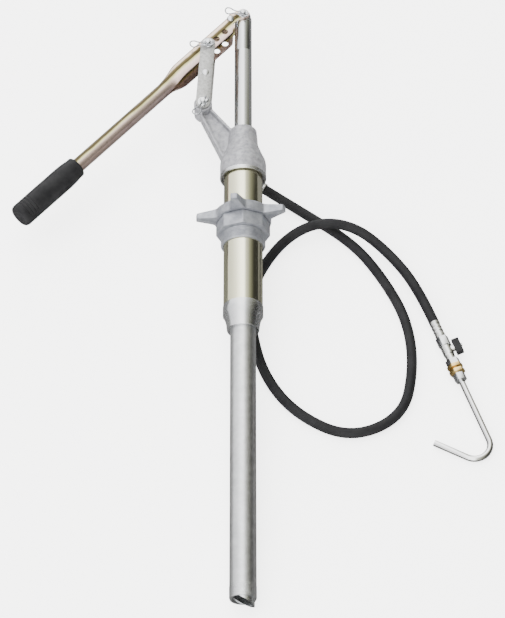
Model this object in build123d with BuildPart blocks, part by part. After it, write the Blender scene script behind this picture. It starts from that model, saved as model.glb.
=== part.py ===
from build123d import *
from math import asin, atan, cos, degrees, pi, radians, sin, sqrt, tan
import os

os.makedirs("parts", exist_ok=True)

# Lever-action gear oil pump for drums, lying on the floor with its hose beside it.
# Millimetres.  +Y runs up the pump from the suction end to the rod end, +X is the
# hose side, -X the lever side, +Z up from the floor.
# Heights called "at" are measured up the pump's own axis from the suction tip.

# ---------------------------------------------------------------- driving dimensions
axis_x = 126.63           # pump axis, right of the origin
foot_y = -451.13          # suction tip
foot_z = 16.335           # axis height at the suction tip

suction_r = 16.85         # 33.7 mm pipe, the 1 inch pipe size
suction_bore_r = 14.55
suction_low, suction_top = 9.5, 402.0
foot_thread_r = 17.2

inlet_r, inlet_bore_r = 14.5, 13.0
inlet_top = 45.0
bevel_rise = 16.5         # how far the slanting mouth climbs across the tube

housing_low, housing_top = 387.0, 423.0
housing_r, housing_foot_r = 26.6, 21.2
spigot_top = 441.0
valve_floor = 404.0       # shelf that carries the foot valve seat

barrel_r, barrel_bore_r = 26.0, 24.1
barrel_top = 646.0

head_low, head_top = 623.0, 703.0
skirt_r, neck_r = 31.35, 18.8
head_bore_r = 26.05
guide_r = 15.0

rod_r, rod_bore_r = 12.0, 9.5
rod_low, rod_top = 605.0, 886.0
pivot_at = 893.0          # pin through the rod and the lever

piston_low = 575.0
piston_r = 23.6
seal_r = 24.05

lever_droop = 47.7        # lever below the square to the axis, degrees
link_from_pivot = 72.5
rivet_along, rivet_up = 19.0, 6.9
cheek_in, cheek_out = 12.3, 14.8
channel_half, channel_lip = 14.0, 11.0   # web and lips, from the lever's axis
channel_bend, web_start, ear_r = 7.0, 14.0, 8.5
hole_along, hole_down = (40.5, 57.5), 2.5
channel_end, tube_start = 138.0, 168.0
lever_tube_r, lever_tube_bore_r = 10.0, 8.3
grip_start, lever_end = 335.0, 445.0
grip_r = 16.5

pin_r = 3.5
pin_hole_r = 3.56
bracket_x, bracket_at = -55.0, 739.5
plate_in, plate_out = 15.1, 18.1
plate_half = 10.0
clip_wire_r = 0.9

bung_low, bung_shoulder, bung_neck, bung_top = 515.0, 533.0, 553.0, 564.0
bung_thread_r = 29.8      # 2 inch pipe thread
bung_bore_r = 26.3
octagon_r = 36.3
star_low, star_top = 553.3, 568.0
star_ring_r, star_tip_r = 37.5, 62.98
lug_root_half, lug_tip_half = 10.5, 4.6
lug_turns = (-11.0, 61.0, 205.0, 277.0)  # azimuths from the front, towards +X, degrees
lug_thinning = 6.0        # how much thinner a lug is at its tip than at the ring
lug_reach = 58.42         # lowest corner of the lug that stands on the floor

outlet_at = 660.0
elbow_drop = 47.0         # outlet elbow's corner below the axis
hose_r = 6.9
hose_turn, hose_dip = -33.0, 8.0
elbow_leg, ferrule_end = 14.0, 36.0

valve_x, valve_y, valve_z = 252.0, 421.8, 12.45  # valve end of the hose, from the foot
valve_heading, valve_dip = -70.6, 2.0
knob_at = 46.0
nozzle_r, nozzle_bore_r = 4.0, 3.0
nozzle_corner, nozzle_bend_r = 240.7, 21.1
nozzle_tip_side, nozzle_tip_at = -68.0, 170.0

# ---------------------------------------------------------------- frame
# The suction pipe rests on its thread and the collar on one lug, which sets the slope.
slope = atan((lug_reach - foot_thread_r) / (star_low + 2.2 - 10.7))
up_pump = Vector(0, cos(slope), sin(slope))
front = Vector(0, -sin(slope), cos(slope))
foot = Vector(axis_x, foot_y, foot_z)
pump = Plane(origin=foot, x_dir=(1, 0, 0), z_dir=up_pump)
side = Plane(origin=foot, x_dir=(1, 0, 0), z_dir=front)
pump_axis = Axis(foot, up_pump)


def place(x, at, forward=0.0):
    """Point right of the axis, up the pump, and in front of the axis."""
    return foot + Vector(x, 0, 0) + up_pump * at + front * forward


def heading(turn, dip):
    """Unit vector along the floor at turn degrees from +X, dipping by dip degrees."""
    flat = cos(radians(dip))
    return Vector(cos(radians(turn)) * flat, sin(radians(turn)) * flat, -sin(radians(dip)))


def profile(points, base):
    """Closed outline of (radius, height) points beside the z axis of the base plane."""
    beside = Plane(origin=base.origin, x_dir=base.x_dir, z_dir=base.x_dir.cross(base.z_dir))
    with BuildSketch(beside) as outline:
        with BuildLine():
            Polyline(*points, close=True)
        make_face()
    return outline.sketch


def ring(outer, inner, low, high):
    """Outline of a plain ring or tube."""
    return [(inner, low), (outer, low), (outer, high), (inner, high)]


def write(sub_part, name):
    sub_part.part.label = name
    export_step(sub_part.part, f"parts/{name}.step")


# ---------------------------------------------------------------- suction pipe and foot
with BuildPart() as suction_pipe:
    revolve(profile([
        (suction_bore_r, suction_low), (foot_thread_r - 0.6, suction_low),
        (foot_thread_r, suction_low + 1.2), (foot_thread_r, 27.0), (suction_r, 27.6),
        (suction_r, suction_top), (suction_bore_r, suction_top)], pump), axis=pump_axis)
write(suction_pipe, "suction_pipe")

# The mouth is cut on a slant, with its tip on the right.
with BuildPart() as inlet_tube:
    revolve(profile(ring(inlet_r, inlet_bore_r, 0.0, inlet_top), pump), axis=pump_axis)
    tip_side = Vector(0.98, 0, 0) + front * 0.2
    mouth_tilt = atan(bevel_rise / (2 * inlet_r))
    mouth = Plane(
        origin=place(0, 0) + up_pump * (bevel_rise / 2),
        z_dir=up_pump * cos(mouth_tilt) + tip_side.normalized() * sin(mouth_tilt))
    split(bisect_by=mouth, keep=Keep.TOP)
write(inlet_tube, "inlet_tube")

# ---------------------------------------------------------------- foot valve
with BuildPart() as foot_valve_housing:
    with BuildSketch(side):
        with BuildLine():
            Polyline((suction_r + 0.05, housing_low), (housing_foot_r - 0.8, housing_low),
                     (housing_foot_r, housing_low + 0.8), (22.0, 395.0))
            ThreePointArc((22.0, 395.0), (23.6, 403.0), (housing_r, 409.5))
            Polyline((housing_r, 409.5), (housing_r, housing_top), (24.05, housing_top),
                     (24.05, 429.5), (21.9, 429.5), (21.9, 432.5), (24.05, 432.5),
                     (24.05, spigot_top), (17.0, spigot_top), (17.0, valve_floor),
                     (12.0, valve_floor), (12.0, suction_top), (suction_r + 0.05, suction_top),
                     (suction_r + 0.05, housing_low))
        make_face()
    revolve(axis=pump_axis)
    with BuildSketch(Plane(origin=place(0, 436.5), x_dir=front, z_dir=(1, 0, 0))):
        Circle(1.55)
    extrude(amount=26, both=True, mode=Mode.SUBTRACT)
write(foot_valve_housing, "foot_valve_housing")

with BuildPart() as foot_valve_seat:
    revolve(profile([(9.0, valve_floor), (16.9, valve_floor), (16.9, 410.0), (12.2, 410.0),
                     (9.0, 406.8)], pump), axis=pump_axis)
write(foot_valve_seat, "foot_valve_seat")

foot_ball_r = 11.0
foot_ball_at = 413.8
with BuildPart() as foot_valve_ball:
    with Locations(Location(place(0, foot_ball_at))):
        Sphere(foot_ball_r)
write(foot_valve_ball, "foot_valve_ball")

with BuildPart() as foot_valve_stop_pin:
    with BuildSketch(Plane(origin=place(0, 436.5), x_dir=front, z_dir=(1, 0, 0))):
        Circle(1.5)
    extrude(amount=23.9, both=True)
write(foot_valve_stop_pin, "foot_valve_stop_pin")

with BuildPart() as barrel_lower_seal:
    with BuildSketch(side):
        with Locations((22.98, 431.0)):
            Circle(1.05)
    revolve(axis=pump_axis)
write(barrel_lower_seal, "barrel_lower_seal")

# ---------------------------------------------------------------- barrel
with BuildPart() as barrel_tube:
    revolve(profile(ring(barrel_r, barrel_bore_r, housing_top, barrel_top), pump), axis=pump_axis)
write(barrel_tube, "barrel_tube")

with BuildPart() as barrel_gasket:
    revolve(profile(ring(barrel_r, barrel_bore_r, barrel_top, barrel_top + 2), pump),
            axis=pump_axis)
write(barrel_gasket, "barrel_gasket")

# ---------------------------------------------------------------- head casting
eye_r = 12.5
slot_angle, slot_run, slot_width = 30.5, 7.5, 9.0
web_half, flange_half = 2.5, 10.0


def strip(start, end, width):
    """Four corners of a straight bar from start to end, its outer edge on that line."""
    along = (Vector(*end) - Vector(*start)).normalized()
    across = Vector(-along.Y, along.X) * width
    corners = [Vector(*start), Vector(*end), Vector(*end) + across, Vector(*start) + across]
    return [(corner.X, corner.Y) for corner in corners]


with BuildPart() as head_casting:
    with BuildSketch(side):
        with BuildLine():
            Polyline((0, head_low), (skirt_r - 0.8, head_low), (skirt_r, head_low + 0.8),
                     (skirt_r, 643.0))
            ThreePointArc((skirt_r, 643.0), (30.7, 650.0), (28.0, 657.0))
            Line((28.0, 657.0), (22.6, 671.0))
            ThreePointArc((22.6, 671.0), (20.4, 678.5), (19.9, 686.0))
            Line((19.9, 686.0), (neck_r, 699.0))
            ThreePointArc((neck_r, 699.0), (17.9, 701.9), (15.6, head_top))
            Polyline((15.6, head_top), (0, head_top), (0, head_low))
        make_face()
    revolve(axis=pump_axis)
    # Arm to the link pivot: a web between two flanges, and a wide eye.
    with BuildSketch(side):
        with BuildLine():
            Polyline((-62.0, 732.0), (-47.0, 740.5), (-14.0, 698.0), (-14.0, 655.0),
                     (-29.0, 655.0), close=True)
        make_face()
    extrude(amount=web_half, both=True)
    with BuildSketch(side):
        for start, end in (((-63.0, 733.5), (-27.5, 652.0)), ((-14.5, 698.9), (-49.0, 741.8))):
            with BuildLine():
                Polyline(*strip(start, end, 3.6), close=True)
            make_face()
    extrude(amount=flange_half, both=True)
    with BuildSketch(side):
        with Locations((bracket_x, bracket_at)):
            Circle(eye_r)
    extrude(amount=cheek_out, both=True)
    # Boss for the outlet, behind the head.
    with BuildSketch(Plane(origin=place(0, outlet_at), x_dir=(1, 0, 0), z_dir=-front)):
        Circle(12.0)
    extrude(amount=37.0)
    # Socket for the barrel, chamber, and the bore of the rod guide.
    revolve(profile([
        (0, head_low - 1), (28.8, head_low - 1), (28.8, head_low + 6), (head_bore_r, head_low + 8),
        (head_bore_r, barrel_top + 2), (21.0, barrel_top + 2), (21.0, 664.0), (13.0, 670.0),
        (13.0, 674.0), (guide_r + 0.05, 674.0), (guide_r + 0.05, head_top + 1),
        (0, head_top + 1)], pump), axis=pump_axis, mode=Mode.SUBTRACT)
    with BuildSketch(Plane(origin=place(0, outlet_at), x_dir=(1, 0, 0), z_dir=-front)):
        Circle(6.6)
    extrude(amount=60.0, mode=Mode.SUBTRACT)
    # The pin's slot in the eye, longer than the pin because the link swings.
    with BuildSketch(side):
        with Locations((bracket_x + 0.2, bracket_at - 0.4)):
            SlotCenterToCenter(slot_run, slot_width, rotation=slot_angle)
    extrude(amount=cheek_out + 1, both=True, mode=Mode.SUBTRACT)
write(head_casting, "head_casting")

for name, inner, low, high in (("rod_guide_bush", rod_r + 0.06, 674.0, 692.0),
                               ("rod_seal", rod_r + 0.04, 692.0, 698.0),
                               ("rod_wiper_ring", rod_r + 0.08, 698.0, 702.0)):
    with BuildPart() as rod_ring:
        revolve(profile(ring(guide_r, inner, low, high), pump), axis=pump_axis)
    write(rod_ring, name)

# ---------------------------------------------------------------- piston and rod
with BuildPart() as rod_tube:
    revolve(profile([
        (rod_bore_r, rod_low), (rod_r, rod_low), (rod_r, 835.0), (rod_r - 0.3, 835.3),
        (rod_r - 0.3, 836.7), (rod_r, 837.0), (rod_r, rod_top), (rod_bore_r, rod_top)], pump),
        axis=pump_axis)
write(rod_tube, "rod_tube")

with BuildPart() as rod_eye_plug:
    revolve(profile([(0, 862.0), (rod_bore_r - 0.05, 862.0), (rod_bore_r - 0.05, rod_top),
                     (rod_r, rod_top), (rod_r, 905.0), (0, 905.0)], pump), axis=pump_axis)
    with BuildSketch(side):
        with Locations((0, 870.0)):
            Rectangle(2 * rod_r, 46.0)
        with Locations((0, pivot_at)):
            Circle(10.8)
        with Locations((0, pivot_at + 10.0)):
            Rectangle(30.0, 20.0, mode=Mode.SUBTRACT)
        with Locations((0, pivot_at)):
            Circle(10.8)
    extrude(amount=20, both=True, mode=Mode.INTERSECT)
    with BuildSketch(side):
        with Locations((0, pivot_at)):
            Circle(pin_hole_r)
    extrude(amount=20, both=True, mode=Mode.SUBTRACT)
write(rod_eye_plug, "rod_eye_plug")

with BuildPart() as piston_body:
    revolve(profile([
        (6.0, piston_low), (piston_r, piston_low), (piston_r, 577.5), (20.6, 577.5),
        (20.6, 581.5), (piston_r, 581.5), (piston_r, 585.0), (20.6, 585.0), (20.6, 589.0),
        (piston_r, 589.0), (piston_r, 592.0), (17.0, 595.0), (17.0, 617.0), (rod_r + 0.05, 617.0),
        (rod_r + 0.05, rod_low), (11.0, rod_low), (11.0, 583.0), (6.0, 580.0)], pump),
        axis=pump_axis)
    # Ports that let the oil past the ball into the barrel.
    for turn in range(4):
        out = Vector(cos(turn * pi / 2), 0, 0) + front * sin(turn * pi / 2)
        with BuildSketch(Plane(origin=place(0, 600.0), x_dir=up_pump, z_dir=out)):
            Circle(3.6)
        extrude(amount=20.0, mode=Mode.SUBTRACT)
write(piston_body, "piston_body")

with BuildPart() as piston_seals:
    for low in (577.5, 585.0):
        revolve(profile(ring(seal_r, 20.6, low, low + 4.0), pump), axis=pump_axis)
write(piston_seals, "piston_seals")

piston_ball_r = 10.0
piston_ball_at = 588.4
with BuildPart() as piston_valve_ball:
    with Locations(Location(place(0, piston_ball_at))):
        Sphere(piston_ball_r)
write(piston_valve_ball, "piston_valve_ball")

# ---------------------------------------------------------------- lever
droop = radians(lever_droop)
pivot = place(0, pivot_at)
along_lever = Vector(-cos(droop), 0, 0) - up_pump * sin(droop)
lever = Plane(origin=pivot, x_dir=along_lever, z_dir=front)
lever_axis = Axis(pivot, along_lever)


def across_lever(distance):
    """Section plane square to the lever; its x is the front, its -y the open side."""
    return Plane(origin=pivot + along_lever * distance, x_dir=front, z_dir=along_lever)


with BuildPart() as lever_arm:
    # Each cheek is cut away beside the rod, which leaves a narrow ear at the pivot.
    for cheek in (cheek_in, -cheek_out):
        with BuildSketch(lever.offset(cheek)):
            with BuildLine():
                Polyline((0, -ear_r), (web_start, channel_bend - channel_half),
                         (channel_end + 1, channel_bend - channel_half),
                         (channel_end + 1, channel_lip), (38.0, channel_lip), (33.0, 10.4),
                         (28.0, 6.4), (22.0, 1.4), (16.0, 0.8), (9.0, 3.2), (4.0, 7.0), (0, ear_r))
                ThreePointArc((0, ear_r), (-ear_r, 0), (0, -ear_r))
            make_face()
        extrude(amount=cheek_out - cheek_in)
    bend_x, bend_y = cheek_out - channel_bend, channel_half - channel_bend
    inner_bend = channel_bend - (cheek_out - cheek_in)
    with BuildSketch(across_lever(web_start)):
        with BuildLine():
            Line((-cheek_out, bend_y), (-cheek_in, bend_y))
            RadiusArc((-cheek_in, bend_y), (-bend_x, bend_y + inner_bend), inner_bend)
            Line((-bend_x, bend_y + inner_bend), (bend_x, bend_y + inner_bend))
            RadiusArc((bend_x, bend_y + inner_bend), (cheek_in, bend_y), inner_bend)
            Line((cheek_in, bend_y), (cheek_out, bend_y))
            RadiusArc((cheek_out, bend_y), (bend_x, channel_half), -channel_bend)
            Line((bend_x, channel_half), (-bend_x, channel_half))
            RadiusArc((-bend_x, channel_half), (-cheek_out, bend_y), -channel_bend)
        make_face()
    extrude(amount=channel_end + 1 - web_start)
    # The channel draws in to a round tube.
    with BuildSketch(across_lever(channel_end)):
        with Locations((0, (channel_half - channel_lip) / 2)):
            RectangleRounded(2 * cheek_out, channel_half + channel_lip, channel_bend)
    with BuildSketch(across_lever(tube_start)):
        Circle(lever_tube_r)
    loft()
    with BuildSketch(across_lever(tube_start)):
        Circle(lever_tube_r)
    extrude(amount=lever_end - 4.0 - tube_start)
    with BuildSketch(across_lever(channel_end)):
        with Locations((0, (channel_half - channel_lip) / 2)):
            RectangleRounded(2 * cheek_in, channel_half + channel_lip - 5.0, inner_bend)
    with BuildSketch(across_lever(tube_start)):
        Circle(lever_tube_bore_r)
    loft(mode=Mode.SUBTRACT)
    with BuildSketch(across_lever(tube_start)):
        Circle(lever_tube_bore_r)
    extrude(amount=lever_end - tube_start, mode=Mode.SUBTRACT)
    with BuildSketch(lever.offset(-9.0)):
        with Locations((channel_end + 4.0, channel_lip)):
            Rectangle(22.0, 14.0)
    extrude(amount=18.0, mode=Mode.SUBTRACT)
    # Row of holes through both cheeks.
    with BuildSketch(lever.offset(-cheek_out - 1)):
        with Locations((0, 0), (link_from_pivot, 0)):
            Circle(pin_hole_r)
        with Locations((rivet_along, -rivet_up)):
            Circle(pin_r)
        with Locations(*[(along, hole_down) for along in hole_along]):
            Circle(4.5)
    extrude(amount=2 * cheek_out + 2, mode=Mode.SUBTRACT)
write(lever_arm, "lever_arm")

with BuildPart() as lever_grip:
    grip_base = across_lever(0)
    revolve(profile([
        (lever_tube_r + 0.05, grip_start), (14.2, grip_start), (15.6, grip_start + 3.0),
        (grip_r, grip_start + 22.0), (grip_r, lever_end - 4.0), (14.0, lever_end),
        (0, lever_end), (0, lever_end - 3.9), (lever_tube_r + 0.05, lever_end - 3.9)],
        grip_base), axis=lever_axis)
write(lever_grip, "lever_grip")

# ---------------------------------------------------------------- pins, washers and clips


def pin_outline(back, tip):
    """Headed pin along the front direction, its head against the face at back."""
    return [(0, back - 2.5), (5.2, back - 2.5), (5.6, back - 2.0), (5.6, back), (pin_r, back),
            (pin_r, tip - 0.8), (pin_r - 0.8, tip), (0, tip)]


def clip_path():
    """Spring clip: a straight leg through the pin, an eye, and a leg that grips the pin."""
    return [(-9.0, 0), (13.0, 0), (21.0, -3.4), (25.0, 2.2), (20.5, 8.2), (12.5, 4.4),
            (5.5, 5.9), (0.0, 4.6), (-4.5, 5.9), (-8.5, 4.2)]


def add_clip(center, away):
    """Wire clip in the plane square to a pin, its eye pointing along away."""
    flat = Plane(origin=center, x_dir=away, z_dir=front)
    with BuildPart(mode=Mode.PRIVATE) as wire_clip:
        with BuildLine(flat) as wire:
            FilletPolyline(*clip_path(), radius=1.6)
        with BuildSketch(Plane(origin=wire.wires()[0] @ 0, z_dir=wire.wires()[0] % 0)):
            Circle(clip_wire_r)
        sweep(path=wire.wires()[0])
    return wire_clip.part


link_x = -link_from_pivot * cos(droop)
link_at = pivot_at - link_from_pivot * sin(droop)
clip_height = {"rod": 18.4, "link": 21.4}
pin_places = {
    "rod_pivot": (0.0, pivot_at, cheek_out, clip_height["rod"], 168.0),
    "lever_link": (link_x, link_at, plate_out, clip_height["link"], 186.0),
    "bracket": (bracket_x, bracket_at, plate_out, clip_height["link"], 240.0),
}
for name, (x, at, face, clip_at, turn) in pin_places.items():
    foot_of_pin = place(x, at)
    across = Plane(origin=foot_of_pin, x_dir=(1, 0, 0), z_dir=front)
    away = Vector(1, 0, 0) * cos(radians(turn)) + up_pump * sin(radians(turn))
    clip_center = foot_of_pin + front * clip_at
    with BuildPart() as headed_pin:
        revolve(profile(pin_outline(-face, clip_at + 3.2), across), axis=Axis(foot_of_pin, front))
        with BuildSketch(Plane(origin=clip_center, z_dir=away)):
            Circle(clip_wire_r + 0.2)
        extrude(amount=10, both=True, mode=Mode.SUBTRACT)
    write(headed_pin, f"{name}_pin")
    with BuildPart() as pin_washer:
        revolve(profile(ring(7.2, pin_r + 0.1, face, face + 1.4), across),
                axis=Axis(foot_of_pin, front))
    write(pin_washer, f"{name}_washer")
    with BuildPart() as pin_clip:
        add(add_clip(clip_center, away))
    write(pin_clip, f"{name}_clip")

# Rivet that keeps the lever's cheeks apart.
rivet_foot = pivot + along_lever * rivet_along - lever.y_dir * rivet_up
with BuildPart() as lever_spacer_rivet:
    revolve(profile([
        (0, -cheek_out - 2.0), (4.0, -cheek_out - 2.0), (5.0, -cheek_out), (pin_r, -cheek_out),
        (pin_r, cheek_out), (5.0, cheek_out), (5.0, cheek_out + 3.2), (4.0, cheek_out + 4.2),
        (0, cheek_out + 4.2)], Plane(origin=rivet_foot, x_dir=(1, 0, 0), z_dir=front)),
        axis=Axis(rivet_foot, front))
write(lever_spacer_rivet, "lever_spacer_rivet")

# ---------------------------------------------------------------- link
link_lean = (bracket_x - link_x) / (link_at - bracket_at)
mid_x, mid_at = (link_x + bracket_x) / 2, (link_at + bracket_at) / 2
link_length = sqrt((bracket_x - link_x) ** 2 + (link_at - bracket_at) ** 2)
link_turn = -90.0 - degrees(atan(-link_lean))
for name, low in (("link_plate_front", plate_in), ("link_plate_rear", -plate_out)):
    with BuildPart() as link_plate:
        with BuildSketch(side.offset(low)):
            with Locations((mid_x, mid_at)):
                SlotCenterToCenter(link_length, 2 * plate_half, rotation=link_turn)
            with Locations((link_x, link_at), (bracket_x, bracket_at), (mid_x, mid_at)):
                Circle(pin_r + 0.05, mode=Mode.SUBTRACT)
        extrude(amount=plate_out - plate_in)
    write(link_plate, name)

with BuildPart() as link_rivet:
    rivet_plane = Plane(origin=place(mid_x, mid_at), x_dir=(1, 0, 0), z_dir=front)
    revolve(profile([
        (0, -plate_out - 1.6), (3.6, -plate_out - 1.6), (5.0, -plate_out), (pin_r, -plate_out),
        (pin_r, -plate_in), (5.5, -plate_in), (5.5, plate_in), (pin_r, plate_in),
        (pin_r, plate_out), (5.0, plate_out), (3.6, plate_out + 1.6), (0, plate_out + 1.6)],
        rivet_plane), axis=Axis(rivet_plane.origin, front))
write(link_rivet, "link_rivet")

# ---------------------------------------------------------------- bung adapter and star nut
with BuildPart() as bung_bushing:
    with BuildSketch(pump.offset(bung_shoulder)):
        RegularPolygon(octagon_r, 8)
    extrude(amount=bung_neck - bung_shoulder)
    revolve(profile([
        (20.0, bung_low), (bung_thread_r - 1.2, bung_low), (bung_thread_r, bung_low + 1.2),
        (bung_thread_r, bung_shoulder), (bung_thread_r, bung_neck), (31.0, bung_neck),
        (31.0, bung_top), (20.0, bung_top)], pump), axis=pump_axis)
    revolve(profile([
        (0, bung_low - 1), (bung_bore_r, bung_low - 1), (bung_bore_r, 556.0), (29.0, 556.0),
        (29.0, bung_top + 1), (0, bung_top + 1)], pump), axis=pump_axis, mode=Mode.SUBTRACT)
write(bung_bushing, "bung_bushing")

with BuildPart() as bung_seal_ring:
    revolve(profile(ring(28.95, barrel_r + 0.05, 556.05, bung_top), pump), axis=pump_axis)
write(bung_seal_ring, "bung_seal_ring")


def azimuth(degrees_right, radius):
    """Point of the pump plane at an azimuth from the front; its y points backwards."""
    return (radius * sin(radians(degrees_right)), -radius * cos(radians(degrees_right)))


with BuildPart() as star_nut:
    with BuildSketch(pump.offset(star_low)):
        Circle(star_ring_r)
        for turn in lug_turns:
            with BuildLine():
                Polyline(
                    azimuth(turn - degrees(asin(lug_root_half / 32.0)), 32.0),
                    azimuth(turn - degrees(asin(lug_tip_half / star_tip_r)), star_tip_r),
                    azimuth(turn + degrees(asin(lug_tip_half / star_tip_r)), star_tip_r),
                    azimuth(turn + degrees(asin(lug_root_half / 32.0)), 32.0), close=True)
            make_face()
    extrude(amount=star_top - star_low)
    tips = edges().filter_by(Axis(foot, up_pump)).filter_by(
        lambda edge: (edge.center() - foot).cross(up_pump).length > star_tip_r - 1.0)
    fillet(tips, radius=2.4)
    waists = edges().filter_by(Axis(foot, up_pump)).filter_by(
        lambda edge: abs((edge.center() - foot).cross(up_pump).length - star_ring_r) < 0.1)
    fillet(waists, radius=7.0)
    revolve(profile([
        (0, star_low - 1), (31.1, star_low - 1), (31.1, bung_top + 0.3), (26.4, bung_top + 0.3),
        (26.4, star_top + 1), (0, star_top + 1)], pump), axis=pump_axis, mode=Mode.SUBTRACT)
    revolve(profile([
        (star_ring_r, star_top), (star_tip_r, star_top - lug_thinning), (star_tip_r + 3, star_top - lug_thinning),
        (star_tip_r + 3, star_top + 1), (star_ring_r, star_top + 1)], pump), axis=pump_axis, mode=Mode.SUBTRACT)
write(star_nut, "star_nut")

# ---------------------------------------------------------------- outlet elbow
elbow = place(0, outlet_at, -elbow_drop)
outward = heading(hose_turn, hose_dip)
with BuildPart() as outlet_elbow:
    with BuildSketch(Plane(origin=place(0, outlet_at, -37.0), x_dir=(1, 0, 0), z_dir=-front)):
        RegularPolygon(9.5, 6)
    extrude(amount=4.0)
    with BuildSketch(Plane(origin=place(0, outlet_at, -22.0), x_dir=(1, 0, 0), z_dir=-front)):
        Circle(6.5)
    extrude(amount=16.0)
    with BuildSketch(Plane(origin=place(0, outlet_at, -40.0), x_dir=(1, 0, 0), z_dir=-front)):
        Circle(8.4)
    extrude(amount=elbow_drop - 40.0)
    with Locations(Location(elbow)):
        Sphere(8.8)
    with BuildSketch(Plane(origin=elbow, z_dir=outward)):
        Circle(8.0)
    extrude(amount=elbow_leg)
    with BuildSketch(Plane(origin=elbow, z_dir=outward)):
        Circle(4.0)
    extrude(amount=elbow_leg + 1, mode=Mode.SUBTRACT)
    with BuildSketch(Plane(origin=elbow, x_dir=(1, 0, 0), z_dir=front)):
        Circle(4.0)
    extrude(amount=elbow_drop - 20.0, mode=Mode.SUBTRACT)
write(outlet_elbow, "outlet_elbow")

hose_base = Plane(origin=elbow, z_dir=outward)
with BuildPart() as hose_ferrule_pump_end:
    revolve(profile([
        (3.2, elbow_leg), (7.4, elbow_leg), (8.2, elbow_leg + 1.0), (8.2, ferrule_end - 1.0),
        (7.4, ferrule_end), (3.2, ferrule_end)], hose_base), axis=Axis(elbow, outward))
write(hose_ferrule_pump_end, "hose_ferrule_pump_end")

# ---------------------------------------------------------------- hose
valve = foot + Vector(valve_x, valve_y, valve_z - foot_z)
flow = heading(valve_heading, valve_dip)
hose_start = elbow + outward * ferrule_end
# Right of the axis, up from the foot, and height, all along the floor.
hose_route = [
    (149.0, 556.0, 7.0), (189.0, 494.0, 7.0), (217.0, 429.0, 7.0), (223.0, 357.0, 7.0),
    (207.0, 279.0, 7.0), (137.0, 245.0, 7.0), (68.0, 282.0, 7.0), (27.0, 341.0, 7.0),
    (10.0, 416.0, 7.1), (9.0, 481.0, 7.1), (48.0, 556.0, 7.1), (98.0, 580.0, 24.0),
    (150.0, 571.0, 26.5), (195.0, 537.0, 13.0)]
hose_points = (
    [hose_start, hose_start + outward * 54.0]
    + [Vector(axis_x + x, foot_y + y, z) for x, y, z in hose_route]
    + [valve - flow * 60.0, valve])


def corner_radii(points):
    """For each corner, 0.45 of its shorter run over the tangent of half the turn."""
    radii = []
    for before, here, after in zip(points, points[1:], points[2:]):
        turn = radians((here - before).get_angle(after - here))
        radii.append(0.45 * min((here - before).length, (after - here).length) / tan(turn / 2))
    return radii


hose_radii = corner_radii(hose_points)
print("hose radii", [round(radius) for radius in hose_radii])
print("hose runs", [round((b - a).length) for a, b in zip(hose_points, hose_points[1:])])
with BuildPart() as hose:
    with BuildLine() as hose_line:
        FilletPolyline(*hose_points, radius=hose_radii)
    with BuildSketch(Plane(origin=hose_start, z_dir=outward)):
        Circle(hose_r)
    sweep(path=hose_line.wires()[0])
hose_length = hose_line.wires()[0].length
print("hose length", round(hose_length, 1), "volume ratio",
      round(hose.part.volume / (pi * hose_r ** 2 * hose_length), 4))
write(hose, "hose")

# ---------------------------------------------------------------- ball valve and nozzle
level = Vector(-sin(radians(valve_heading)), cos(radians(valve_heading)), 0)
valve_base = Plane(origin=valve, x_dir=level, z_dir=flow)
valve_axis = Axis(valve, flow)
stem_turn = radians(12.0)
stem_dir = level * cos(stem_turn) + valve_base.y_dir * sin(stem_turn)
stem_base = Plane(origin=valve + flow * knob_at, x_dir=flow, z_dir=stem_dir)

with BuildPart() as hose_ferrule_valve_end:
    revolve(profile([
        (3.0, 0.0), (6.3, 0.0), (6.9, 0.8), (6.9, 24.0), (6.3, 25.0), (5.0, 25.0), (5.0, 26.0),
        (3.0, 26.0)], valve_base), axis=valve_axis)
write(hose_ferrule_valve_end, "hose_ferrule_valve_end")

with BuildPart() as hose_swivel_nut:
    with BuildSketch(valve_base.offset(26.0)):
        RegularPolygon(7.6, 6, major_radius=False)
    extrude(amount=14.0)
    with BuildSketch(valve_base.offset(25.0)):
        Circle(3.0)
    extrude(amount=16.0, mode=Mode.SUBTRACT)
write(hose_swivel_nut, "hose_swivel_nut")

with BuildPart() as ball_valve_body:
    revolve(profile([
        (3.0, 40.0), (6.6, 40.0), (7.2, 41.0), (7.2, 53.0), (6.4, 55.0), (6.4, 64.0),
        (3.4, 64.0), (3.4, 52.6), (5.6, 52.6), (5.6, 40.6), (3.0, 40.6)], valve_base),
        axis=valve_axis)
    with BuildSketch(valve_base.offset(62.5)):
        RegularPolygon(8.2, 6, major_radius=False)
        Circle(3.4, mode=Mode.SUBTRACT)
    extrude(amount=8.0)
    with BuildSketch(stem_base.offset(5.9)):
        Circle(4.6)
    extrude(amount=3.9)
    with BuildSketch(stem_base.offset(5.0)):
        Circle(2.06)
    extrude(amount=6.0, mode=Mode.SUBTRACT)
write(ball_valve_body, "ball_valve_body")

with BuildPart() as valve_seats:
    for low in (40.6, 50.3):
        revolve(profile(ring(5.55, 3.6, low, low + 1.2), valve_base), axis=valve_axis)
write(valve_seats, "valve_seats")

ball_r = 5.2
with BuildPart() as valve_ball:
    with Locations(valve_base.offset(knob_at).location):
        Sphere(ball_r)
        Cylinder(3.0, ball_r * 3, mode=Mode.SUBTRACT)
    split(bisect_by=stem_base.offset(4.2), keep=Keep.BOTTOM)
write(valve_ball, "valve_ball")

with BuildPart() as valve_stem:
    with BuildSketch(stem_base.offset(4.2)):
        Circle(2.0)
    extrude(amount=9.0)
write(valve_stem, "valve_stem")

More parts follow.
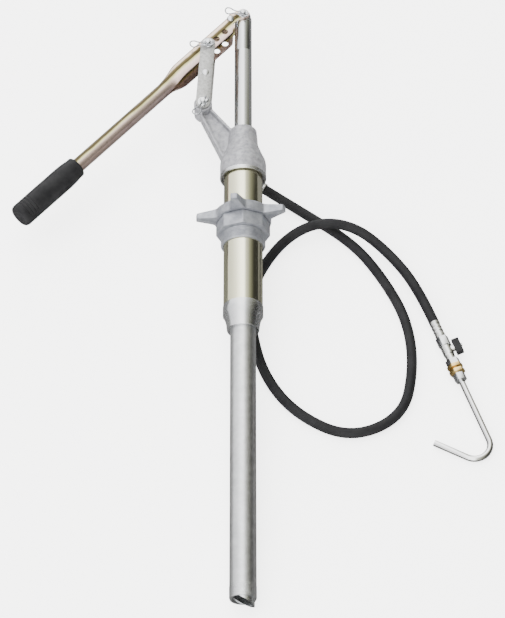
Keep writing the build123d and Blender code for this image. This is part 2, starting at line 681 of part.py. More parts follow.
with BuildPart() as valve_knob:
    with BuildSketch(stem_base.offset(10.2)):
        RectangleRounded(22.0, 9.0, 1.5)
    extrude(amount=9.6)
    fillet(faces().sort_by(Axis(valve, stem_dir))[-1].edges(), radius=1.2)
    with BuildSketch(stem_base.offset(9.0)):
        Circle(2.05)
    extrude(amount=4.2, mode=Mode.SUBTRACT)
write(valve_knob, "valve_knob")

with BuildPart() as knob_screw:
    revolve(profile([(0, 19.8), (2.4, 19.8), (2.4, 20.6), (1.8, 21.2), (0, 21.2)], stem_base),
            axis=Axis(stem_base.origin, stem_dir))
write(knob_screw, "knob_screw")

with BuildPart() as brass_adapter:
    with BuildSketch(valve_base.offset(70.5)):
        RegularPolygon(9.5, 6, major_radius=False)
    extrude(amount=5.5)
    with BuildSketch(valve_base.offset(76.0)):
        Circle(6.5)
    extrude(amount=11.5)
    with BuildSketch(valve_base.offset(70.0)):
        Circle(3.2)
    extrude(amount=20.0, mode=Mode.SUBTRACT)
write(brass_adapter, "brass_adapter")

with BuildPart() as brass_locknut:
    with BuildSketch(valve_base.offset(78.5)):
        RegularPolygon(9.5, 6, major_radius=False)
        Circle(6.55, mode=Mode.SUBTRACT)
    extrude(amount=5.5)
write(brass_locknut, "brass_locknut")

with BuildPart() as nozzle_nut:
    with BuildSketch(valve_base.offset(84.0)):
        RegularPolygon(7.4, 6, major_radius=False)
    extrude(amount=11.5)
    revolve(profile([
        (0, 83.0), (6.55, 83.0), (6.55, 87.6), (nozzle_r + 0.05, 87.6), (nozzle_r + 0.05, 96.0),
        (0, 96.0)], valve_base), axis=valve_axis, mode=Mode.SUBTRACT)
write(nozzle_nut, "nozzle_nut")

nozzle_side = Plane(origin=valve, x_dir=level, z_dir=level.cross(flow))
with BuildPart() as nozzle_tube:
    with BuildLine(nozzle_side) as nozzle_line:
        FilletPolyline((0, 87.6), (0, nozzle_corner), (nozzle_tip_side, nozzle_tip_at),
                       radius=nozzle_bend_r)
    with BuildSketch(valve_base.offset(87.6)):
        Circle(nozzle_r)
        Circle(nozzle_bore_r, mode=Mode.SUBTRACT)
    sweep(path=nozzle_line.wires()[0])
write(nozzle_tube, "nozzle_tube")
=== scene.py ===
import logging
import math
from collections.abc import Callable, Sequence
from dataclasses import dataclass
from enum import Enum

import bmesh
import bpy
from mathutils import Matrix, Vector


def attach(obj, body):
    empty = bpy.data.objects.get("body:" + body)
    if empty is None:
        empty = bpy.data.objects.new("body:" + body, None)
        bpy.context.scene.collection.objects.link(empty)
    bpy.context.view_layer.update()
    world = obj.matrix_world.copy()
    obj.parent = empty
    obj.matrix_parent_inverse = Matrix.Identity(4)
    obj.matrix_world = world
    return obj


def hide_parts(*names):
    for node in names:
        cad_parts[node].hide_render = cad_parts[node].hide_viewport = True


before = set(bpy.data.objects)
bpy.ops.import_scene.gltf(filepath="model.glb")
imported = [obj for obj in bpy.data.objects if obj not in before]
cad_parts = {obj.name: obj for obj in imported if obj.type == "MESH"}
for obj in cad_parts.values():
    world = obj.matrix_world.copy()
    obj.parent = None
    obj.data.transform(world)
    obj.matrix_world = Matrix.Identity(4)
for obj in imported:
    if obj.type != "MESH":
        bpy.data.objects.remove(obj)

log = logging.getLogger("gear_oil_pump")
MM = 0.001
Point2 = tuple[float, float]
Colour = tuple[float, float, float]


# ------------------------------------------------------------------ places
def rig(origin: Vector, x: Vector, z: Vector) -> Matrix:
    """Give the matrix that takes millimetres in a local frame to metres in the row frame.

    Args:
        origin: Where the local origin is, in metres.
        x: Unit vector of the local x axis.
        z: Unit vector of the local z axis.

    Returns:
        A four by four matrix that scales, turns and moves.
    """
    y = z.cross(x)
    turn = Matrix((x, y, z)).transposed().to_4x4()
    return Matrix.Translation(origin) @ turn @ Matrix.Scale(MM, 4)


@dataclass(frozen=True)
class PumpAxes:
    """The sloping frame of the pump, from its suction tip up to its rod."""

    foot: Vector = Vector((0.12663, -0.45113, 0.016335))
    slope: float = math.radians(4.3268)
    droop: float = math.radians(47.7)
    pivot_at: float = 893.0

    @property
    def right(self) -> Vector:
        """Give the unit vector to the hose side."""
        return Vector((1.0, 0.0, 0.0))

    @property
    def up(self) -> Vector:
        """Give the unit vector up the pump."""
        return Vector((0.0, math.cos(self.slope), math.sin(self.slope)))

    @property
    def front(self) -> Vector:
        """Give the unit vector out of the pump's upper side."""
        return Vector((0.0, -math.sin(self.slope), math.cos(self.slope)))

    def place(self, x: float, at: float, forward: float = 0.0) -> Vector:
        """Give a point in metres from millimetres right, up the pump and forward."""
        return self.foot + (self.right * x + self.up * at + self.front * forward) * MM

    def along(self) -> Matrix:
        """Give the frame whose z runs up the pump."""
        return rig(self.foot, self.right, self.up)

    def side(self, x: float = 0.0, at: float = 0.0) -> Matrix:
        """Give the frame whose y runs up the pump and whose z points to the front."""
        return rig(self.place(x, at), self.right, self.front)

    def lever(self) -> Matrix:
        """Give the frame whose x runs down the lever and whose z points to the front."""
        run = self.right * -math.cos(self.droop) - self.up * math.sin(self.droop)
        return rig(self.place(0.0, self.pivot_at), run, self.front)

    def down_lever(self) -> Matrix:
        """Give the frame whose z runs down the lever."""
        run = self.right * -math.cos(self.droop) - self.up * math.sin(self.droop)
        return rig(self.place(0.0, self.pivot_at), self.front, run)


PUMP = PumpAxes()


# ------------------------------------------------------------------ shaping
def rounded(mesh: bmesh.types.BMesh, width: float, over: float = 32.0) -> None:
    """Round the sharp edges of a closed shell.

    Args:
        mesh: The shell.
        width: Width of the rounding, in the shell's own units.
        over: Smallest angle between faces, in degrees, that counts as sharp.
    """
    sharp = [
        edge
        for edge in mesh.edges
        if len(edge.link_faces) == 2 and edge.calc_face_angle(0.0) > math.radians(over)
    ]
    bmesh.ops.bevel(mesh, geom=sharp, offset=width, offset_type="OFFSET", segments=2,
                    profile=0.5, affect="EDGES", clamp_overlap=True, material=-1)


def shaded(mesh: bmesh.types.BMesh, over: float = 38.0) -> None:
    """Shade faces smooth and keep edges over an angle, in degrees, sharp."""
    for face in mesh.faces:
        face.smooth = True
    for edge in mesh.edges:
        edge.smooth = (
            len(edge.link_faces) != 2 or edge.calc_face_angle(0.0) < math.radians(over)
        )


def piece(mesh: bmesh.types.BMesh, name: str, where: Matrix) -> bpy.types.Object:
    """Move a finished shell into the row frame and make it an object.

    Args:
        mesh: The shell, which is freed.
        name: Name of the piece.
        where: Matrix from the shell's own frame to the row frame.

    Returns:
        The object, with its origin at the row's origin.
    """
    bmesh.ops.transform(mesh, matrix=where, verts=mesh.verts)
    bmesh.ops.recalc_face_normals(mesh, faces=mesh.faces)
    shaded(mesh)
    data = bpy.data.meshes.new(name)
    mesh.to_mesh(data)
    mesh.free()
    made = bpy.data.objects.new(name, data)
    bpy.context.scene.collection.objects.link(made)
    return made


def turned(
    name: str, outline: Sequence[Point2], where: Matrix, steps: int = 72, soft: float = 0.25
) -> bpy.types.Object:
    """Turn an outline about the z axis of a frame, as on a lathe.

    Args:
        name: Name of the piece.
        outline: Radius and height pairs; closed unless both ends are on the axis.
        where: Frame of the piece.
        steps: Facets round the full turn.
        soft: Rounding of its corners in millimetres, or 0 for none.

    Returns:
        The turned piece.
    """
    mesh = bmesh.new()
    dots = [mesh.verts.new((radius, 0.0, high)) for radius, high in outline]
    lines = [mesh.edges.new(pair) for pair in zip(dots, dots[1:])]
    if outline[0][0] > 0.0 or outline[-1][0] > 0.0:
        lines.append(mesh.edges.new((dots[-1], dots[0])))
    bmesh.ops.spin(mesh, geom=dots + lines, cent=(0.0, 0.0, 0.0), axis=(0.0, 0.0, 1.0),
                   angle=math.tau, steps=steps, use_merge=True)
    bmesh.ops.remove_doubles(mesh, verts=mesh.verts, dist=1e-3)
    bmesh.ops.recalc_face_normals(mesh, faces=mesh.faces)
    if soft:
        rounded(mesh, soft)
    return piece(mesh, name, where)


def corners(items: Sequence[object]) -> list[bmesh.types.BMVert]:
    """Pick the corners out of what an operator made."""
    return [item for item in items if isinstance(item, bmesh.types.BMVert)]


def edges(items: Sequence[object]) -> list[bmesh.types.BMEdge]:
    """Pick the edges out of what an operator made."""
    return [item for item in items if isinstance(item, bmesh.types.BMEdge)]


def lifted(mesh: bmesh.types.BMesh, rise: float) -> list[bmesh.types.BMVert]:
    """Raise a shell's flat faces into a solid, and return its upper corners."""
    tops = corners(bmesh.ops.extrude_face_region(mesh, geom=mesh.faces[:])["geom"])
    bmesh.ops.translate(mesh, verts=tops, vec=(0.0, 0.0, rise))
    bmesh.ops.recalc_face_normals(mesh, faces=mesh.faces)
    return tops


def nut(
    name: str, sides: int, flat: float, low: float, high: float, where: Matrix, soft: float = 0.5
) -> bpy.types.Object:
    """Make a solid polygonal nut with its corners eased.

    Args:
        name: Name of the piece.
        sides: Number of flats.
        flat: Distance from the axis to a flat, in millimetres.
        low: Lower end along the axis.
        high: Upper end along the axis.
        where: Frame of the piece.
        soft: Width of the easing.

    Returns:
        The nut.
    """
    mesh = bmesh.new()
    turn = Matrix.Rotation(math.pi / sides, 4, "Z")
    bmesh.ops.create_circle(mesh, cap_ends=True, segments=sides,
                            radius=flat / math.cos(math.pi / sides),
                            matrix=Matrix.Translation((0.0, 0.0, low)) @ turn)
    lifted(mesh, high - low)
    rounded(mesh, soft)
    return piece(mesh, name, where)


def plate(
    name: str, outline: Sequence[Point2], low: float, high: float, where: Matrix, soft: float
) -> bpy.types.Object:
    """Make a flat plate from its outline, with rounded edges.

    Args:
        name: Name of the piece.
        outline: Corners in the plate's plane.
        low: Lower face.
        high: Upper face.
        where: Frame of the piece.
        soft: Rounding of the edges.

    Returns:
        The plate.
    """
    mesh = bmesh.new()
    mesh.faces.new([mesh.verts.new((x, y, low)) for x, y in outline])
    lifted(mesh, high - low)
    rounded(mesh, soft)
    return piece(mesh, name, where)


def stadium(start: Point2, end: Point2, half: float, steps: int = 16) -> list[Point2]:
    """Give the outline of a bar with round ends.

    Args:
        start: Centre of one end.
        end: Centre of the other end.
        half: Half the bar's width.
        steps: Facets of each round end.

    Returns:
        The corners, in order.
    """
    heading = math.atan2(end[1] - start[1], end[0] - start[0])
    corners = []
    for centre, first in ((end, heading - math.pi / 2), (start, heading + math.pi / 2)):
        for step in range(steps + 1):
            turn = first + math.pi * step / steps
            corners.append((centre[0] + half * math.cos(turn), centre[1] + half * math.sin(turn)))
    return corners


def thread(low: float, high: float, crest: float, deep: float, pitch: float) -> list[Point2]:
    """Give the outline of thread turns as rounded ridges.

    Args:
        low: Where the first ridge starts.
        high: Where the last ridge must have ended.
        crest: Radius over the ridges.
        deep: Depth of the grooves.
        pitch: Distance from ridge to ridge.

    Returns:
        Radius and height pairs from low to high.
    """
    ridges = int((high - low) / pitch)
    outline = []
    for ridge in range(ridges):
        base = low + ridge * pitch
        outline += [
            (crest - deep, base),
            (crest - deep * 0.15, base + pitch * 0.34),
            (crest, base + pitch * 0.5),
            (crest - deep * 0.15, base + pitch * 0.66),
        ]
    return outline + [(crest - deep, low + ridges * pitch)]


def cut(made: bpy.types.Object, drill: bpy.types.Object) -> None:
    """Take a drill's shape out of a piece once the piece is baked."""
    hole = made.modifiers.new("holes", "BOOLEAN")
    hole.operation = "DIFFERENCE"
    hole.solver = "EXACT"
    hole.object = drill


def evaluated(source: bpy.types.Object) -> bpy.types.Mesh:
    """Give a new mesh of an object as its modifiers or its bevel leave it."""
    bpy.context.view_layer.update()
    final = source.evaluated_get(bpy.context.evaluated_depsgraph_get())
    return bpy.data.meshes.new_from_object(final)


def baked(source: bpy.types.Object) -> bpy.types.Object:
    """Apply a piece's modifiers to its mesh and shade it, and return it."""
    solid = evaluated(source)
    source.modifiers.clear()
    mesh = bmesh.new()
    mesh.from_mesh(solid)
    shaded(mesh)
    mesh.to_mesh(solid)
    mesh.free()
    source.data = solid
    return source


def bent(
    name: str, points: Sequence[Vector | Colour], radius: float, along: int, around: int
) -> bpy.types.Object:
    """Bend a round tube smoothly along its control points.

    Args:
        name: Name of the curve.
        points: Control points in metres.
        radius: Radius in metres.
        along: Steps between control points.
        around: Steps of a quarter turn round the tube.

    Returns:
        The tube as a curve object.
    """
    curve = bpy.data.curves.new(name, "CURVE")
    curve.dimensions = "3D"
    spline = curve.splines.new("NURBS")
    spline.points.add(len(points) - 1)
    for dot, point in zip(spline.points, points):
        dot.co = (*point, 1.0)
    spline.order_u = 3
    spline.use_endpoint_u = True
    spline.resolution_u = along
    curve.resolution_u = along
    curve.bevel_depth = radius
    curve.bevel_resolution = around
    curve.use_fill_caps = True
    made = bpy.data.objects.new(name, curve)
    bpy.context.scene.collection.objects.link(made)
    return made


def wire(name: str, points: Sequence[Vector], radius: float) -> bpy.types.Object:
    """Bend a round wire along its control points and make it a mesh piece."""
    line = bent(name, points, radius, 8, 4)
    solid = evaluated(line)
    bpy.data.objects.remove(line)
    mesh = bmesh.new()
    mesh.from_mesh(solid)
    return piece(mesh, name, Matrix.Identity(4))


# ------------------------------------------------------------------ finishes
class Grain(Enum):
    """How a surface's fine marks are laid."""

    CAST = "cast"
    DRAWN = "drawn"
    TURNED = "turned"
    MOULDED = "moulded"
    SPANGLED = "spangled"


Stops = tuple[tuple[float, Colour], ...]


def mottle(colour: Colour, shade: Colour) -> Stops:
    """Give the tones of a surface mottled between two tints."""
    return ((0.35, shade), (0.65, colour))


class Tree:
    """The nodes of a material or of the world, filled in as they are added."""

    def __init__(self, owner: bpy.types.Material | bpy.types.World) -> None:
        """Open the owner's nodes."""
        owner.use_nodes = True
        self.nodes = owner.node_tree.nodes
        self.links = owner.node_tree.links

    def feed(self, node: bpy.types.Node, inputs: dict[str | int, object]) -> None:
        """Set inputs to numbers and colours, or link them to other nodes' outputs."""
        for name, value in inputs.items():
            if isinstance(value, bpy.types.NodeSocket):
                self.links.new(value, node.inputs[name])
            else:
                node.inputs[name].default_value = value

    def add(self, kind: str, inputs: dict[str | int, object]) -> bpy.types.Node:
        """Add a node of a kind, and return it."""
        node = self.nodes.new(f"ShaderNode{kind}")
        self.feed(node, inputs)
        return node

    def reckon(self, operation: str, inputs: dict[str | int, object], kind: str = "Math"
               ) -> bpy.types.NodeSocket:
        """Add a sum, and return its result."""
        node = self.add(kind, inputs)
        node.operation = operation
        return node.outputs["Value"]

    def ranged(self, value: bpy.types.NodeSocket, given: Point2, wanted: Point2 = (0.0, 1.0)
               ) -> bpy.types.NodeSocket:
        """Map a value from one range to another, and return the result."""
        ends = zip(("From Min", "From Max", "To Min", "To Max"), given + wanted)
        return self.add("MapRange", {"Value": value, **dict(ends)}).outputs["Result"]

    def ramp(self, value: bpy.types.NodeSocket, stops: Stops) -> bpy.types.NodeSocket:
        """Pick a colour from stops by a value, and return it."""
        node = self.add("ValToRGB", {"Fac": value})
        places = node.color_ramp.elements
        first, last = places[0], places[1]
        first.position, last.position = stops[0][0], stops[-1][0]
        first.color, last.color = (*stops[0][1], 1.0), (*stops[-1][1], 1.0)
        for position, tint in stops[1:-1]:
            places.new(position).color = (*tint, 1.0)
        return node.outputs["Color"]


@dataclass(frozen=True)
class Finish:
    """A finish with mottled colour, uneven gloss and fine grain."""

    name: str
    slot: str
    tones: Stops
    metallic: float
    rough: tuple[float, float]
    grain: Grain = Grain.TURNED
    patch: float = 40.0
    fine: float = 900.0
    bump: float = 0.06
    sheen: float = 0.12
    turn: tuple[float, float, float] = (0.0, 0.0, 0.0)

    def build(self) -> bpy.types.Material:
        """Build the finish once, and return it."""
        known = bpy.data.materials.get(self.name)
        if known:
            return known
        made = bpy.data.materials.new(self.name)
        tree = Tree(made)
        spot = tree.add("TexCoord", {}).outputs["Object"]
        squeeze = (1.0, 0.06, 1.0) if self.grain is Grain.DRAWN else (1.0, 1.0, 1.0)
        lay = tree.add("Mapping", {"Vector": spot, "Rotation": self.turn, "Scale": squeeze})
        where = lay.outputs["Vector"]
        blotch = tree.add("TexNoise", {"Vector": where, "Scale": self.patch, "Detail": 5.0,
                                       "Roughness": 0.62}).outputs["Fac"]
        if self.grain is Grain.SPANGLED:
            marks = tree.add("TexVoronoi", {"Vector": where, "Scale": self.fine})
            height = marks.outputs["Distance"]
        else:
            marks = tree.add("TexNoise", {"Vector": where, "Scale": self.fine, "Detail": 6.0,
                                          "Roughness": 0.7})
            height = marks.outputs["Fac"]
        relief = tree.add("Bump", {"Height": height, "Strength": self.bump, "Distance": 0.0006})
        shader = tree.nodes["Principled BSDF"]
        tree.feed(shader, {
            "Base Color": tree.ramp(self.drive(tree, spot, blotch), self.tones),
            "Metallic": self.metallic,
            "Roughness": tree.ranged(height, (0.25, 0.75), self.rough),
            "Normal": relief.outputs["Normal"]})
        if not self.metallic:
            tree.feed(shader, {"Specular IOR Level": self.sheen})
        return made

    def drive(self, tree: Tree, spot: bpy.types.NodeSocket, blotch: bpy.types.NodeSocket
              ) -> bpy.types.NodeSocket:
        """Give the value that picks the tint: here the mottling itself."""
        return blotch


@dataclass(frozen=True)
class PassivatedWithPaintedLight(Finish):
    """Yellow passivation with a painted highlight, painted reflection and painted shade in bands
    along the lever.
    """

    span: float = 0.028
    stir: float = 0.22

    def drive(self, tree: Tree, spot: bpy.types.NodeSocket, blotch: bpy.types.NodeSocket
              ) -> bpy.types.NodeSocket:
        """Give the height across the lever, which places the painted light, stirred a little by
        the mottling.
        """
        rest = PUMP.lever()
        across = rest.to_3x3().col[1].normalized()
        middle = rest.translation.dot(across)
        height = tree.reckon("DOT_PRODUCT", {0: spot, 1: across}, "VectorMath")
        level = tree.ranged(height, (middle - self.span / 2, middle + self.span / 2))
        stirred = tree.reckon("MULTIPLY_ADD", {0: blotch, 1: self.stir, 2: level})
        return tree.reckon("SUBTRACT", {0: stirred, 1: self.stir / 2})


# Painted light across the lever's height, web side first: a painted highlight on the rounded web,
# a near-black band of painted reflection, pale and pink passivation tints, then painted shade
# darkening to black at the open lip.
PASSIVATION_AND_PAINTED_LIGHT: Stops = (
    (0.00, (0.60, 0.46, 0.36)),
    (0.22, (0.74, 0.60, 0.48)),
    (0.30, (0.10, 0.080, 0.035)),
    (0.44, (0.045, 0.035, 0.015)),
    (0.52, (0.50, 0.46, 0.22)),
    (0.62, (0.66, 0.52, 0.46)),
    (0.84, (0.44, 0.33, 0.30)),
    (1.00, (0.030, 0.020, 0.018)),
)
GALVANISED = Finish(
    "galvanised pipe", "galvanised_steel", mottle((0.66, 0.67, 0.68), (0.54, 0.55, 0.56)),
    1.0, (0.30, 0.40), Grain.SPANGLED, 90.0, 420.0, 0.025)
BARE_STEEL = Finish(
    "turned bare steel", "bare_steel", mottle((0.60, 0.60, 0.60), (0.46, 0.46, 0.46)),
    1.0, (0.22, 0.42), Grain.TURNED, 60.0, 1100.0, 0.05)
ZINC = Finish(
    "bright zinc plate", "zinc_plated", mottle((0.74, 0.75, 0.76), (0.60, 0.61, 0.63)),
    1.0, (0.16, 0.34), Grain.TURNED, 45.0, 900.0, 0.04)
CLIP_WIRE = Finish(
    "clip wire", "zinc_plated", mottle((0.40, 0.41, 0.43), (0.26, 0.27, 0.29)),
    1.0, (0.16, 0.34), Grain.TURNED, 200.0, 1500.0, 0.04)
BARREL = Finish(
    "plated barrel", "bright_barrel", mottle((0.90, 0.88, 0.70), (0.78, 0.76, 0.54)),
    1.0, (0.08, 0.18), Grain.DRAWN, 22.0, 700.0, 0.015)
ROD = Finish(
    "plated rod", "bright_barrel", mottle((0.74, 0.75, 0.76), (0.62, 0.63, 0.64)),
    1.0, (0.14, 0.26), Grain.DRAWN, 40.0, 800.0, 0.03)
CASTING = Finish(
    "cast aluminium", "cast_aluminium", mottle((0.42, 0.42, 0.44), (0.25, 0.25, 0.27)),
    0.6, (0.44, 0.66), Grain.CAST, 160.0, 1100.0, 0.55)
MACHINED = Finish(
    "machined aluminium", "cast_aluminium", mottle((0.76, 0.77, 0.78), (0.66, 0.67, 0.68)),
    1.0, (0.20, 0.34), Grain.TURNED, 80.0, 1200.0, 0.05)
PISTON = Finish(
    "turned piston aluminium", "piston_aluminium", mottle((0.66, 0.67, 0.68), (0.56, 0.57, 0.58)),
    1.0, (0.22, 0.38), Grain.TURNED, 50.0, 1000.0, 0.06)
CAST_ZINC = Finish(
    "cast zinc", "cast_zinc", mottle((0.36, 0.37, 0.40), (0.24, 0.25, 0.28)),
    0.7, (0.34, 0.56), Grain.CAST, 110.0, 1000.0, 0.45)
# The lever's finish paints its highlight, reflection and shade bands by height across the lever,
# over the passivation tints.
LEVER_STEEL = PassivatedWithPaintedLight(
    "passivated steel with painted light", "passivated_steel", PASSIVATION_AND_PAINTED_LIGHT,
    0.9, (0.22, 0.42), Grain.DRAWN, 26.0, 800.0, 0.08, turn=(0.0, 0.0, math.radians(-42.3)))
LINK_STEEL = Finish(
    "speckled link steel", "link_steel", mottle((0.44, 0.44, 0.43), (0.26, 0.26, 0.25)),
    0.9, (0.30, 0.58), Grain.CAST, 320.0, 1400.0, 0.16)
RUBBER = Finish(
    "moulded rubber", "black_rubber", mottle((0.018, 0.018, 0.019), (0.010, 0.010, 0.011)),
    0.0, (0.42, 0.62), Grain.MOULDED, 60.0, 1600.0, 0.16)
HOSE_RUBBER = Finish(
    "hose rubber", "black_rubber", mottle((0.016, 0.016, 0.017), (0.009, 0.009, 0.010)),
    0.0, (0.46, 0.66), Grain.MOULDED, 40.0, 2200.0, 0.28)
SEAL = Finish(
    "seal rubber", "seal_rubber", mottle((0.030, 0.030, 0.032), (0.018, 0.018, 0.020)),
    0.0, (0.38, 0.58), Grain.MOULDED, 80.0, 1500.0, 0.10)
WHITE_SEAT = Finish(
    "white seat plastic", "seat_plastic", mottle((0.84, 0.84, 0.82), (0.76, 0.76, 0.73)),
    0.0, (0.32, 0.48), Grain.TURNED, 90.0, 1500.0, 0.05)
FERRULE = Finish(
    "crimped ferrule", "ferrule_steel", mottle((0.72, 0.72, 0.71), (0.56, 0.56, 0.55)),
    1.0, (0.18, 0.36), Grain.TURNED, 70.0, 1000.0, 0.05)
VALVE_CHROME = Finish(
    "satin valve chrome", "valve_chrome", mottle((0.78, 0.78, 0.77), (0.66, 0.66, 0.65)),
    1.0, (0.12, 0.28), Grain.TURNED, 60.0, 1100.0, 0.03)
NOZZLE_CHROME = Finish(
    "bright nozzle chrome", "nozzle_chrome", mottle((0.82, 0.82, 0.82), (0.72, 0.72, 0.72)),
    1.0, (0.04, 0.09), Grain.TURNED, 60.0, 900.0, 0.02)
BRASS = Finish(
    "turned brass", "brass", mottle((0.80, 0.58, 0.24), (0.60, 0.42, 0.16)),
    1.0, (0.18, 0.36), Grain.TURNED, 90.0, 1300.0, 0.05)
KNOB = Finish(
    "black knob plastic", "knob_plastic", mottle((0.020, 0.020, 0.021), (0.012, 0.012, 0.013)),
    0.0, (0.34, 0.52), Grain.MOULDED, 90.0, 1800.0, 0.12)


def dress(made: bpy.types.Object, finish: Finish) -> bpy.types.Object:
    """Give a new piece its finish, and return it."""
    made.data.materials.clear()
    made.data.materials.append(finish.build())
    return made


def dress_nodes(finish: Finish, *nodes: str) -> None:
    """Give parts carried over from the frame a finish in their own material slots."""
    for node in nodes:
        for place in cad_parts[node].material_slots:
            place.material = finish.build()
    log.info("carried over with %s: %s", finish.name, ", ".join(nodes))


def fit(made: bpy.types.Object, body: str, finish: Finish, *nodes: str) -> bpy.types.Object:
    """Dress a piece, hang it on its body and let it stand for its parts.

    Args:
        made: The piece.
        body: Name of the body it moves with.
        finish: Its finish.
        nodes: Parts of the frame that it replaces.

    Returns:
        The same piece.
    """
    dress(made, finish)
    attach(made, body)
    if nodes:
        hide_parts(*nodes)
    log.info("%s rides on %s", made.name, body)
    return made


# ------------------------------------------------------------------ studio
@dataclass
class Studio:
    """Camera, floor and soft light."""

    eye: Vector = Vector((0.13893, -1.79092, 2.576615))
    tilt: float = math.radians(34.8268)
    roll: float = -0.002
    glow: float = 3.2
    sky: float = 4.2
    mirrored: Colour = (0.10, 0.10, 0.098)
    lens: float = 137.24
    sensor: float = 36.0

    def camera(self) -> None:
        """Set up the camera."""
        lens = bpy.data.cameras.new("studio_camera")
        lens.sensor_fit = "VERTICAL"
        lens.sensor_height = self.sensor
        lens.lens = self.lens
        lens.clip_end = 20.0
        eye = bpy.data.objects.new("studio_camera", lens)
        eye.location = self.eye
        turn = Matrix.Rotation(self.tilt, 4, "X") @ Matrix.Rotation(self.roll, 4, "Z")
        eye.rotation_euler = turn.to_euler()
        bpy.context.scene.collection.objects.link(eye)
        bpy.context.scene.camera = eye

    def floor(self) -> None:
        """Lay the pale glowing floor, which bright metal mirrors as a darker one."""
        mesh = bmesh.new()
        bmesh.ops.create_grid(mesh, x_segments=1, y_segments=1, size=12.0)
        ground = piece(mesh, "studio_floor", Matrix.Translation((0.0, 0.0, -0.0006)))
        paint = bpy.data.materials.new("pale floor")
        tree = Tree(paint)
        shader = tree.nodes["Principled BSDF"]
        tree.feed(shader, {
            "Base Color": (0.94, 0.94, 0.94, 1.0), "Roughness": 0.9, "Specular IOR Level": 0.1,
            "Emission Color": (1.0, 1.0, 1.0, 1.0), "Emission Strength": self.glow})
        calm = tree.add("BsdfDiffuse", {"Color": (*self.mirrored, 1.0)})
        path = tree.add("LightPath", {})
        blend = tree.add("MixShader", {"Fac": path.outputs["Is Glossy Ray"],
                                       1: shader.outputs["BSDF"], 2: calm.outputs["BSDF"]})
        tree.feed(tree.nodes["Material Output"], {"Surface": blend.outputs["Shader"]})
        ground.data.materials.append(paint)

    def lamp(self, name: str, spot: Vector, aim: Vector, size: float, power: float) -> None:
        """Hang one soft square lamp.

        Args:
            name: Name of the lamp.
            spot: Where it hangs, in metres.
            aim: What it points at.
            size: Side of the square, in metres.
            power: Power in watts.
        """
        light = bpy.data.lights.new(name, "AREA")
        light.shape = "SQUARE"
        light.size = size
        light.energy = power
        hung = bpy.data.objects.new(name, light)
        hung.location = spot
        hung.visible_glossy = False
        hung.rotation_euler = (aim - spot).to_track_quat("-Z", "Y").to_euler()
        bpy.context.scene.collection.objects.link(hung)

    def light(self) -> None:
        """Hang the lamps and shade the surroundings from bright left to dark right."""
        middle = Vector((0.1, 0.0, 0.05))
        self.lamp("key_left", Vector((-1.9, -0.6, 2.3)), middle, 1.8, 34.0)
        self.lamp("top_fill", Vector((0.2, 0.9, 3.0)), middle, 2.4, 24.0)
        world = bpy.context.scene.world or bpy.data.worlds.new("studio")
        bpy.context.scene.world = world
        stops = (
            (0.0, (0.34, 0.34, 0.34)),
            (0.20, (0.60, 0.60, 0.60)),
            (0.40, (1.0, 1.0, 1.0)),
            (0.54, (1.0, 1.0, 0.99)),
            (0.63, (0.30, 0.30, 0.27)),
            (0.80, (0.09, 0.09, 0.07)),
            (0.93, (0.012, 0.012, 0.010)),
            (1.0, (0.010, 0.010, 0.010)),
        )
        tree = Tree(world)
        way = tree.add("TexCoord", {}).outputs["Generated"]
        right = tree.add("SeparateXYZ", {"Vector": way}).outputs["X"]
        tree.feed(tree.nodes["Background"], {
            "Color": tree.ramp(tree.ranged(right, (-1.0, 1.0)), stops), "Strength": self.sky})

    def build(self) -> None:
        """Make the whole studio."""
        self.camera()
        self.floor()
        self.light()


# ------------------------------------------------------------------ hose
@dataclass
class DeliveryHose:
    """The oil hose along the floor, from the pump's elbow to the valve."""

    radius: float = 0.0069
    length: float = 1.175
    route: tuple[tuple[float, float, float], ...] = (
        (0.15653, 0.19112, 0.01425), (0.20138, 0.16199, 0.00674), (0.27563, 0.10487, 0.007),
        (0.31563, 0.04287, 0.007), (0.34363, -0.02213, 0.007), (0.34963, -0.09413, 0.007),
        (0.33363, -0.17213, 0.007), (0.26363, -0.20613, 0.007), (0.19463, -0.16913, 0.007),
        (0.15363, -0.11013, 0.007), (0.13663, -0.03513, 0.0071), (0.13563, 0.02987, 0.0071),
        (0.17463, 0.10487, 0.0071), (0.22463, 0.12887, 0.024), (0.27663, 0.11987, 0.0265),
        (0.32163, 0.08587, 0.013), (0.35871, 0.02723, 0.01454), (0.37863, -0.02933, 0.01245))

    def build(self) -> None:
        """Lay the hose."""
        hose = bent("delivery_hose", self.route, self.radius, 16, 7)
        fit(hose, "pump_body", HOSE_RUBBER, "hose")
        self.hose = hose


# ------------------------------------------------------------------ suction end
@dataclass
class SuctionEnd:
    """Pipe, slanted mouth and the foot valve's housing."""

    pipe: float = 16.85
    bore: float = 14.55
    top: float = 402.0
    crest: float = 17.2
    pitch: float = 2.31

    def build(self) -> None:
        """Make the pipe with its thread, and the polished reducer above it."""
        outline = [(self.bore, 9.5), (self.crest - 0.9, 9.5)]
        outline += thread(10.6, 26.9, self.crest, 0.55, self.pitch)
        outline += [(self.pipe, 27.4), (self.pipe, self.top), (self.bore, self.top)]
        fit(turned("suction_pipe_threaded", outline, PUMP.along(), 96, 0.0), "pump_body",
            GALVANISED, "suction_pipe")
        reducer = [
            (16.9, 387.0), (20.4, 387.0), (21.2, 387.8), (21.7, 391.5), (22.0, 395.0),
            (22.6, 399.0), (23.6, 403.0), (24.9, 406.6), (26.6, 409.5), (26.6, 423.0),
            (24.05, 423.0), (24.05, 429.5), (21.9, 429.5), (21.9, 432.5), (24.05, 432.5),
            (24.05, 441.0), (17.0, 441.0), (17.0, 404.0), (12.0, 404.0), (12.0, 402.0),
            (16.9, 402.0)]
        fit(turned("foot_valve_reducer", reducer, PUMP.along(), 96, 0.35), "pump_body", ZINC,
            "foot_valve_housing")
        dress_nodes(ZINC, "inlet_tube")
        dress_nodes(BARE_STEEL, "foot_valve_seat", "foot_valve_ball", "foot_valve_stop_pin")
        dress_nodes(SEAL, "barrel_lower_seal")


